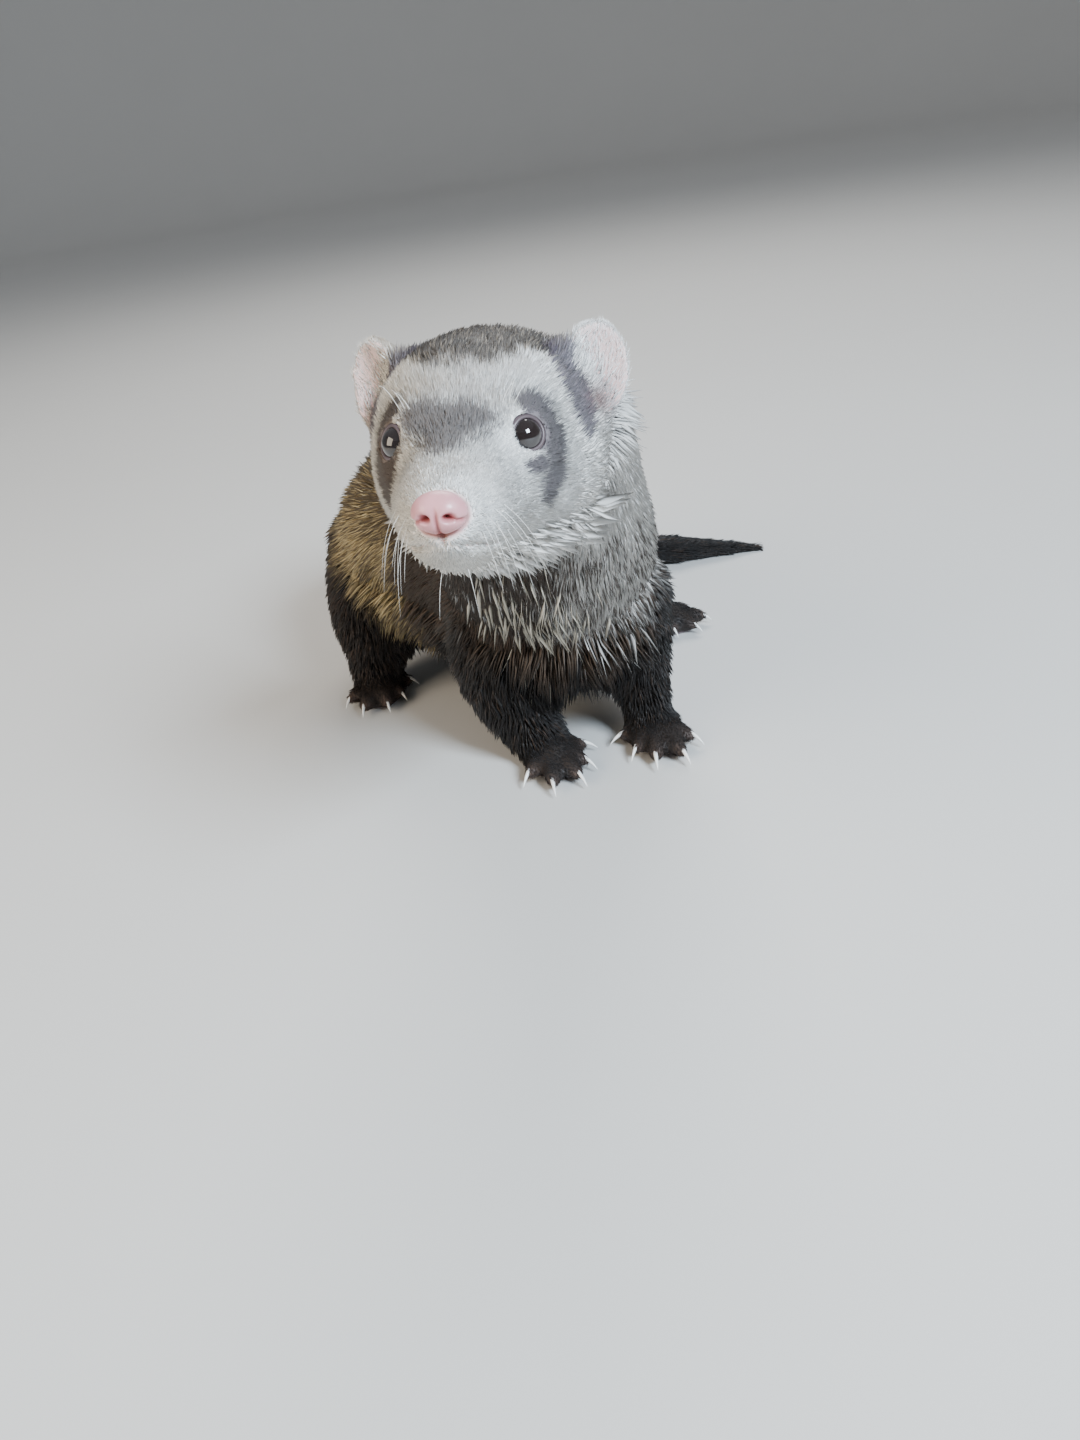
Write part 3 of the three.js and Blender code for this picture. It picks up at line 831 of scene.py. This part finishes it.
def grow_coat(name, where, count, slot, bent=True, long=1.0, wide=1.0, lift=(0.75, 1.05), clump=(7, 0.35),
              droop=0.0, tint=None, tip_share=1.0):
    """One piece of the coat. where is the share of hairs at each skin point, long and wide are against the
    part's own hairs, lift is how far up through the coat's depth the tips reach, clump how many tufts lean
    together and how much, droop how far they hang straight down, tint a colour that they take in place of the
    markings, and tip_share how much their tips differ from their roots."""
    draw = np.random.default_rng(SEED + sum(map(ord, name)))
    chosen, weights = scatter(by_part(DENSITY) * where * (1 - bare_share), count, draw)
    corners = skin_triangles[chosen]

    def at_root(values):
        values = values if values.ndim > 1 else values[:, None]
        return (values[corners] * weights[:, :, None]).sum(1)

    root, up, along = at_root(inner), unit(at_root(skin_normals)), at_root(skin_lie)
    depth, length = at_root(coat_depth)[:, 0], at_root(hair_length)[:, 0]
    width = at_root(by_part(WIDTH))[:, 0] * wide * draw.uniform(*WIDTH_SPREAD, count)
    hang = np.zeros(count) if np.ndim(droop) == 0 else at_root(droop)[:, 0]
    along = along + hang[:, None] * np.array([0, 0, -1])
    side = np.cross(along, up)
    turn = WANDER * draw.normal(size=count) + LOCKS * waves(root / MM, LOCK_SIZE, LOCK_SEED)
    along = along + side * turn[:, None]
    along = unit(along - (along * up).sum(1)[:, None] * up)
    length = length * long * draw.uniform(*LENGTH_SPREAD, count)
    rise = np.clip(depth * draw.uniform(*lift, count) / np.maximum(length, SHORTEST), *RISE_LIMITS)
    angle = np.arcsin(rise)
    steep, flat = np.minimum(STEEP_ROOT * angle, STEEPEST)[:, None], (FLAT_TIP * angle)[:, None]
    half = 0.5 * length[:, None] * MM
    start = root - up * ROOT_DEPTH
    middle = start + half * (np.cos(steep) * along + np.sin(steep) * up)
    tip = middle + half * (np.cos(flat) * along + np.sin(flat) * up)
    middle, tip = drawn_together(start, middle, tip, clump[0], clump[1], draw)
    keep = share_inside(start, middle, tip)
    middle, tip = start + keep * (middle - start), start + keep * (tip - start)
    along = unit(tip - start)
    side = unit(np.cross(along, up))
    over = np.cross(side, along)
    half_width = (0.5 * width * MM)[:, None]
    base = [start - side * half_width, start + side * half_width, start - over * half_width * BASE_DEEP]
    points, pattern, spots = tufts(base, middle, tip, side, half_width, bent)
    points[:, :, 2] = np.maximum(points[:, :, 2], FLOOR_GAP)
    faces = (np.arange(count)[:, None, None] * len(spots) + pattern).reshape(-1, 3)
    root_colour, tip_colour = coat_colours(root, at_root(part_share), draw)
    tip_colour = root_colour + tip_share * (tip_colour - root_colour)
    if tint is not None:
        root_colour = root_colour + TINT_SHARE * (np.array(tint) - root_colour)
        tip_colour = tip_colour + TINT_SHARE * (np.array(tint) - tip_colour)
    shade = draw.uniform(*SHADE_SPREAD, (count, 1))
    # Each tuft's tone varies at random, and its root is darkened by painted shade.
    root_colour, tip_colour = root_colour * shade * ROOT_PAINTED_SHADE, tip_colour * shade
    blend = spots[None, :, 1:]
    colours = root_colour[:, None] * (1 - blend) + tip_colour[:, None] * blend
    mesh = mesh_from(name, points.reshape(-1, 3), faces)
    paint_points(mesh, colours.reshape(-1, 3))
    place = (skin_uv[chosen] * weights[:, :, None]).sum(1)
    uv = (place[:, None] + (spots - 0.5) * PATCH_UV).reshape(-1, 2)[faces.ravel()]
    mesh.uv_layers.new(name="OFBake").uv.foreach_set("vector", uv.astype(np.float32).ravel())
    mesh.materials.append(HAIR)
    piece = add_object(name, mesh)
    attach(piece, BODY)
    print(name, "triangles", len(faces))


# Where each piece of the coat grows, and how far its tufts hang down.
x_head, y_head, z_head = inner_head.T
left_face = share["head"] * ramp(y_head, 30, 26) * ramp(x_head, -0.4, 0.4)
right_face = share["head"] * ramp(y_head, 30, 26) * ramp(x_head, 0.4, -0.4)
crown_share = share["head"] * ramp(y_head, 26, 30)
hind = ramp(inner[:, 1] / MM, 22, 24)
jaw = ramp(share["head"], 0.75, 0.97) * ramp(z_head, -6, -10) * ramp(y_head, 4, 10)
belly = share["torso"] * (inner[:, 2] / MM < 40) * ramp(skin_normals[:, 2], 0.4, -0.2)
THROAT_STRANDS, STRANDS_REACH = [-13.0, -40.0, 52.0], [9.0, 16.0, 15.0]
throat_share = blob(inner / MM, THROAT_STRANDS, STRANDS_REACH) * (1 - leg_share) * (1 - share["head"])
front_hang = ramp(-skin_normals[:, 1], 0.2, 0.8) * 0.6
body_hang = np.maximum(front_hang, 0.35 * ramp(skin_normals[:, 2], 0.2, -0.4))

FACE_WAYS = {"bent": False, "lift": (0.5, 1.2), "clump": (11, 0.55)}
grow_coat("coat_face_left", left_face, 35000, "coat_cream", **FACE_WAYS)
grow_coat("coat_face_right", right_face, 31000, "coat_cream", **FACE_WAYS)
grow_coat("coat_crown_under", crown_share, 19000, "coat_cream", bent=False, long=0.8, wide=1.2,
          lift=(0.4, 0.8))
grow_coat("coat_crown", crown_share, 14000, "coat_cream", long=1.25, clump=(6, 0.35))
grow_coat("coat_ears", ears_share * (1 - 0.82 * ear_inside), 13000, "coat_cream", bent=False, clump=(5, 0.25))
grow_coat("coat_neck_under", share["neck"], 21000, "coat_grey", bent=False, long=0.75, wide=1.3,
          lift=(0.35, 0.75), droop=0.3 * front_hang, tip_share=0.25)
grow_coat("coat_neck", share["neck"], 19500, "coat_grey", long=1.15, wide=0.6, clump=(7, 0.42),
          droop=front_hang)
grow_coat("coat_torso_under", share["torso"], 28000, "coat_brown", bent=False, long=0.75, wide=1.5,
          lift=(0.3, 0.75), droop=body_hang, tip_share=0.4)
grow_coat("coat_torso_front", share["torso"] * (1 - hind), 18000, "coat_brown", wide=0.66, clump=(8, 0.45),
          droop=body_hang)
grow_coat("coat_torso_back", share["torso"] * hind, 16000, "coat_brown", wide=0.95, clump=(9, 0.45),
          droop=body_hang)
grow_coat("coat_legs_under", leg_share, 15000, "coat_black", bent=False, long=0.7, wide=1.4, lift=(0.3, 0.75))
grow_coat("coat_legs", leg_share, 11500, "coat_black", clump=(9, 0.5), lift=(0.6, 1.1))
grow_coat("coat_tail_under", tail_share, 8000, "coat_black", bent=False, long=0.7, wide=1.5, lift=(0.4, 0.8))
grow_coat("coat_tail", tail_share, 7500, "coat_black", clump=(8, 0.4))
grow_coat("coat_paws", paw_share, 14000, "coat_black", bent=False, clump=(6, 0.35))
grow_coat("coat_jaw_fringe", jaw, 1500, "coat_cream", long=1.9, wide=0.5, lift=(1.2, 2.4), clump=(5, 0.4))
grow_coat("coat_belly", belly, 7000, "coat_black", long=1.35, wide=0.8, lift=(1.2, 2.1), clump=(12, 0.6))
grow_coat("coat_throat_strands", throat_share, 110, "coat_cream", long=1.8, wide=0.32, lift=(1.1, 1.8),
          clump=(2, 0.2), droop=front_hang, tint=STRAND_STRAW)
grow_coat("coat_ear_strands", ear_inside * ramp(ears_share, 0.7, 0.9), 260, "coat_cream", long=1.3, wide=0.5,
          lift=(1.0, 2.2), clump=(3, 0.4), tint=WHITE)


# Eyes, nose, claws, pads and whiskers: closed forms

def outward(points, faces):
    """The faces of a closed form, turned to face outwards."""
    a, b, c = (points[faces[:, i]] - points.mean(0) for i in range(3))
    return faces if (np.cross(a, b) * c).sum() > 0 else faces[:, ::-1]


def ringed(rings, closed=False):
    """Faces between rings of points that follow each other. closed joins the last ring to the first."""
    count, sides = rings.shape[:2]
    i, j = np.meshgrid(np.arange(count if closed else count - 1), np.arange(sides), indexing="ij")
    after, beside = (i + 1) % count, (j + 1) % sides
    a, b, c, d = i * sides + j, i * sides + beside, after * sides + beside, after * sides + j
    return np.concatenate([np.stack([a, b, c], -1), np.stack([a, c, d], -1)]).reshape(-1, 3)


def tube(path, radii, sides=8):
    """A round tube along a path, closed at both ends."""
    ahead = unit(np.gradient(path, axis=0))
    side = unit(np.cross(ahead, [0.31, 0.22, 0.93]))
    up = np.cross(side, ahead)
    turn = np.linspace(0, 2 * math.pi, sides, endpoint=False)[:, None]
    rings = path[:, None] + np.asarray(radii)[:, None, None] * (
        np.cos(turn) * side[:, None] + np.sin(turn) * up[:, None])
    points = np.concatenate([rings.reshape(-1, 3), path[:1], path[-1:]])
    first, last = len(points) - 2, len(points) - 1
    j = np.arange(sides)
    beside, far = (j + 1) % sides, (len(path) - 1) * sides
    near_cap = np.stack([beside, j, np.full(sides, first)], 1)
    far_cap = np.stack([far + j, far + beside, np.full(sides, last)], 1)
    return points, outward(points, np.concatenate([ringed(rings), near_cap, far_cap]))


def round_form(subdivisions):
    """Points and faces of an even ball of radius 1."""
    shape = bmesh.new()
    bmesh.ops.create_icosphere(shape, subdivisions=subdivisions, radius=1.0)
    points = np.array([v.co for v in shape.verts])
    faces = np.array([[v.index for v in f.verts] for f in shape.faces])
    shape.free()
    return points, faces


def add_forms(name, forms, material, slot, *nodes):
    """Joins forms of points, faces and point colours to one piece that rides on the body."""
    starts = np.cumsum([0, *[len(form[0]) for form in forms[:-1]]])
    points = np.concatenate([form[0] for form in forms])
    faces = np.concatenate([form[1] + start for form, start in zip(forms, starts)])
    mesh = mesh_from(name, points, faces)
    paint_points(mesh, np.concatenate([form[2] for form in forms]))
    mesh.materials.append(material)
    piece = add_object(name, mesh)
    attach(piece, BODY)
    if nodes:
        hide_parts(*nodes)


def bend(start, middle, end, count):
    """A smooth path from start to end that passes by the middle."""
    t = np.linspace(0, 1, count)[:, None]
    return (1 - t) ** 2 * start + 2 * t * (1 - t) * (2 * middle - (start + end) / 2) + t ** 2 * end


def eye_material():
    return with_levels(surface("wet_eye", 400, 120, 0.3, (0.02, 0.05), 0.02, 0.02),
                       {"Coat Weight": 1.0, "Coat Roughness": 0.02})


def moist_material(name, rough, relief):
    return with_levels(surface(name, 1500, 300, 0.16, rough, relief, 0.12),
                       {"Coat Weight": 0.3, "Coat Roughness": 0.25})


def horn_material():
    return with_levels(surface("horn", 900, 200, 0.08, (0.25, 0.4), 0.1, 0.05),
                       {"Coat Weight": 0.4, "Coat Roughness": 0.2})


IRIS_DARK = np.array([0.012, 0.008, 0.008])
CORNEA = 0.22
OPENING, OPENING_OVAL = 2.52, 0.1
CORNER_REACH, CORNER_TURN = 0.34, 0.26
LID_SIDES = 72
# The lid's rim in section: away from the opening's edge, and above the eye there.
LID_SECTION = [
    (-0.10, -0.10), (0.0, 0.10), (0.12, 0.20), (0.3, 0.22), (0.52, 0.08), (0.8, -0.3), (1.1, -1.0),
    (0.8, -1.6), (0.2, -1.2)]
LID_LILAC, LID_CORNER = np.array([0.085, 0.06, 0.066]), np.array([0.40, 0.29, 0.29])


def make_eye(name, side, material):
    """A dark wet ball with the slight bulge of the cornea."""
    points, faces = round_form(5)
    aim = mirrored(EYE_AIM, side) @ HEAD_AXES
    points = points * EYE_RADIUS + CORNEA * ramp(points @ aim, 0.7, 1.0)[:, None] * aim
    form = points * MM + middle_of(name), outward(points, faces), np.tile(IRIS_DARK, (len(points), 1))
    add_forms(name, [form], material, "eye", name)


def make_lids(name, side, material):
    """A bare rim round the eye, with a corner that points to the nose."""
    aim = mirrored(EYE_AIM, side) @ HEAD_AXES
    to_nose = nose_middle - middle_of(name)
    across = unit(to_nose - (to_nose @ aim) * aim)
    up = np.cross(aim, across)
    turn = np.linspace(0, 2 * math.pi, LID_SIDES, endpoint=False)
    corner = np.exp(-(np.minimum(turn, 2 * math.pi - turn) / CORNER_TURN) ** 2)
    edge = OPENING + OPENING_OVAL * np.cos(2 * turn) + CORNER_REACH * corner
    ways = np.cos(turn)[:, None] * across + np.sin(turn)[:, None] * up
    level = np.sqrt(EYE_RADIUS ** 2 - edge ** 2)
    rings = np.stack([
        ways * (edge + out)[:, None] + aim * (level + rise)[:, None] for out, rise in LID_SECTION])
    points = rings.reshape(-1, 3)
    colours = np.tile(mixed(np.tile(LID_LILAC, (LID_SIDES, 1)), LID_CORNER, corner), (len(LID_SECTION), 1))
    form = points * MM + middle_of(name), outward(points, ringed(rings, closed=True)), colours
    add_forms("lids_" + name, [form], material, "nose_skin")


# The second colour is a dark red laid into the nose pad as painted shade.
NOSE_PINK, NOSE_PAINTED_SHADE = np.array([0.62, 0.29, 0.31]), np.array([0.33, 0.075, 0.075])
NOSTRIL = np.array([2.0, -0.45])
NOSTRIL_SLIT = np.array([[2.3, 0, -0.6], [3.3, 0, -1.0], [4.2, 0, -1.0]])


def make_nose(material):
    """The nose pad: two soft lobes with nostrils that open to the sides, parted by a groove, with painted
    shade in the groove, in the nostrils and under the pad.
    """
    way, faces = round_form(6)
    p = way * NOSE_REACH
    x, z = np.abs(p[:, 0]), p[:, 2]
    front = ramp(p[:, 1], 0.8, -1.0)
    groove = np.exp(-(x / 0.36) ** 2) * ramp(z, 1.8, -0.6) * front
    to_nostril = np.hypot((x - NOSTRIL[0]) / 0.95, (z - NOSTRIL[1]) / 0.72)
    pit = np.exp(-to_nostril ** 4) * front
    flat = np.stack([x, np.zeros(len(x)), z], 1)
    slit = np.exp(-(near_line(flat, NOSTRIL_SLIT) / 0.32) ** 2) * ramp(p[:, 1], 1.6, 0.2)
    lobe = np.exp(-((x - 1.7) / 1.3) ** 2 - ((z - 1.1) / 1.3) ** 2) * front
    p = p + way * (0.22 * lobe - 0.5 * groove - 1.5 * pit - 0.55 * slit)[:, None]
    points = from_head(p + [0, NOSE_MIDDLE_Y, 0])
    # Painted shade: dark in the groove, the nostrils and their slits, and darker towards the pad's underside.
    deep = np.clip(0.7 * groove + pit + 0.8 * slit + 0.45 * ramp(z, -1.4, -3.0), 0, 1)
    colours = mixed(np.tile(NOSE_PINK, (len(p), 1)), NOSE_PAINTED_SHADE, deep)
    add_forms("nose_pad", [(points, outward(points, faces), colours)], material, "nose_skin", "nose")


CLAW_RADII = np.array([0.84, 0.82, 0.78, 0.71, 0.63, 0.54, 0.44, 0.33, 0.2, 0.07]) * MM
CLAW_HIDDEN, CLAW_SIDES = 1.1 * MM, 12
CLAW_ROOT, CLAW_TIP = np.array([0.55, 0.42, 0.38]), np.array([0.86, 0.85, 0.82])
PAD_REACH, PAD_BEHIND = np.array([1.45, 1.45, 1.15]) * MM, 0.9 * MM
PAD_LILAC = np.array([0.26, 0.19, 0.21])


def claw_path(node, away):
    """The middle line of one claw, from its root to its point."""
    points = points_of(NODES[node].data)
    ahead = points @ away
    near, far = ahead.min(), ahead.max()
    root = points[ahead < near + 0.15 * (far - near)].mean(0) - away * CLAW_HIDDEN
    middle = points[np.abs(ahead - (near + far) / 2) < 0.22 * (far - near)].mean(0)
    return bend(root, middle, points[ahead.argmax()], len(CLAW_RADII))


def make_toes(paw, horn, pad):
    """The claws of one paw, and the toe pads under their roots."""
    claws, pads = [], []
    ball, ball_faces = round_form(4)
    pad_colours = np.tile(PAD_LILAC, (len(ball), 1))
    for claw in claws_of(paw):
        away = unit((middle_of(claw) - middle_of(paw)) * [1, 1, 0])
        path = claw_path(claw, away)
        points, faces = tube(path, CLAW_RADII, CLAW_SIDES)
        along = np.append(np.repeat(np.linspace(0, 1, len(path)), CLAW_SIDES), [0, 1])
        colours = mixed(np.tile(CLAW_ROOT, (len(points), 1)), CLAW_TIP, ramp(along, 0.15, 0.6))
        claws.append((points, faces, colours))
        place = path[0] - away * PAD_BEHIND
        place[2] = PAD_REACH[2] + FLOOR_GAP
        pads.append((ball * PAD_REACH + place, ball_faces, pad_colours))
    add_forms("claws_of_" + paw, claws, horn, "claw", *claws_of(paw))
    add_forms("pads_of_" + paw, pads, pad, "nose_skin")


WHISKER_POINTS, WHISKER_SIDES = 9, 5
WHISKER_THICK, WHISKER_FINE = 0.055, 0.012
WHISKER_HIDDEN, WHISKER_SPREAD = 0.4, 0.12
WHISKER_WHITE = np.array([0.85, 0.84, 0.80])


def whisker(root, way, length, draw):
    """One whisker: it leaves the skin the given way in the head's frame, and droops."""
    start = inner[np.linalg.norm(inner_head - root, axis=1).argmin()]
    way = unit(np.array(way) + draw.normal(size=3) * WHISKER_SPREAD) @ HEAD_AXES
    middle = start + way * 0.52 * length * MM
    end = start + (way * 0.93 + np.array([0, 0, -0.3])) * length * MM
    path = bend(start - way * WHISKER_HIDDEN * MM, middle, end, WHISKER_POINTS)
    points, faces = tube(path, np.linspace(WHISKER_THICK, WHISKER_FINE, WHISKER_POINTS) * MM, WHISKER_SIDES)
    return points, faces, np.tile(WHISKER_WHITE, (len(points), 1))


def make_whiskers(material):
    """On each side three rows of three on the lip, three over the eye and one under the chin."""
    draw = np.random.default_rng(SEED)
    whiskers = []
    for side in (1, -1):
        for row in range(3):
            for column in range(3):
                root = [side * (5.4 + 0.5 * column), 3.6 + 2.1 * column, -1.0 - 1.3 * row]
                way = [side * (0.6 - 0.14 * row), -0.2 + 0.25 * column, -0.7 - 0.2 * row]
                whiskers.append(whisker(root, way, draw.uniform(0.85, 1.15) * (7.5 + 1.9 * column), draw))
        for brow in range(3):
            root = [side * (7.6 + brow), 18.8 + 0.6 * brow, 12.6]
            whiskers.append(whisker(root, [side * 0.5, 0.2, 0.9], 6.0 + brow, draw))
        whiskers.append(whisker([side * 2.0, 6.0, -10.0], [side * 0.2, -0.3, -0.9], 7.0, draw))
    add_forms("whiskers", whiskers, material, "coat_cream")


eye_surface, lid_surface = eye_material(), moist_material("eyelid_skin", (0.35, 0.55), 0.25)
nose_surface, horn_surface = moist_material("nose_skin", (0.3, 0.48), 0.5), horn_material()
pad_surface = moist_material("pad_skin", (0.45, 0.65), 0.5)
for eye_side, sign in SIDES.items():
    make_eye("eye_" + eye_side, sign, eye_surface)
    make_lids("eye_" + eye_side, sign, lid_surface)
make_nose(nose_surface)
for paw_name in PAWS:
    make_toes(paw_name, horn_surface, pad_surface)
make_whiskers(horn_surface)


# Floor and light

FLOOR_MIDDLE, FLOOR_REACH, WALL_CURVE, WALL_HEIGHT = 0.3, 2.2, 0.8, 2.2  # in metres
FLOOR_SIDES, CURVE_RINGS = 96, 14
FLOOR_COLOUR = (0.60, 0.59, 0.57, 1)


def make_floor():
    """A level round floor that turns up into a plain wall far away."""
    turn = np.linspace(0, math.pi / 2, CURVE_RINGS)
    far = np.array([FLOOR_MIDDLE, *(FLOOR_REACH + WALL_CURVE * np.sin(turn)), FLOOR_REACH + WALL_CURVE])
    level = np.array([0.0, *(WALL_CURVE * (1 - np.cos(turn))), WALL_HEIGHT])
    round_way = np.linspace(0, 2 * math.pi, FLOOR_SIDES, endpoint=False)
    rings = np.stack([far[:, None] * np.cos(round_way), far[:, None] * np.sin(round_way),
                      np.repeat(level[:, None], FLOOR_SIDES, 1)], -1)
    along = np.arange(FLOOR_SIDES)
    middle = np.stack([np.full(FLOOR_SIDES, len(far) * FLOOR_SIDES), along, (along + 1) % FLOOR_SIDES], 1)
    faces = np.concatenate([middle, ringed(rings)[:, ::-1]])
    mesh = mesh_from("floor", [*rings.reshape(-1, 3), (0, 0, 0)], faces)
    mesh.materials.append(surface("pale_floor", 60, 4, 0.03, (0.55, 0.7), 0.1, 0.2, FLOOR_COLOUR)[0])
    add_object("floor", mesh)


def add_light(name, place, target, power, size, colour):
    data = bpy.data.lights.new(name, "AREA")
    data.energy = power
    data.size = size
    data.color = colour
    light = bpy.data.objects.new(name, data)
    place, target = Vector(place), Vector(target)
    facing = (target - place).to_track_quat("-Z", "Y").to_matrix().to_4x4()
    light.matrix_world = Matrix.Translation(place) @ facing
    bpy.context.scene.collection.objects.link(light)


def make_world():
    world = bpy.data.worlds.new("studio")
    world.use_nodes = True
    background = world.node_tree.nodes["Background"]
    background.inputs["Color"].default_value = WORLD_COLOUR
    background.inputs["Strength"].default_value = WORLD_STRENGTH
    bpy.context.scene.world = world


# Each light's name, its place and what it faces in metres, its power in watts, its size and its colour.
LIGHTS = [
    ("key", (0.42, -0.62, 0.62), (0, -0.05, 0.07), 21.0, 0.3, (0.74, 0.87, 1.0)),
    ("fill", (-0.7, -0.35, 0.45), (0, 0, 0.05), 6.5, 0.6, (1.0, 0.86, 0.68)),
    ("back", (0.1, 0.7, 0.8), (0, 0, 0.06), 6.0, 0.5, (1.0, 0.98, 0.95))]
WORLD_COLOUR, WORLD_STRENGTH = (0.92, 0.95, 1.0, 1), 0.33

make_floor()
for light in LIGHTS:
    add_light(*light)
make_world()
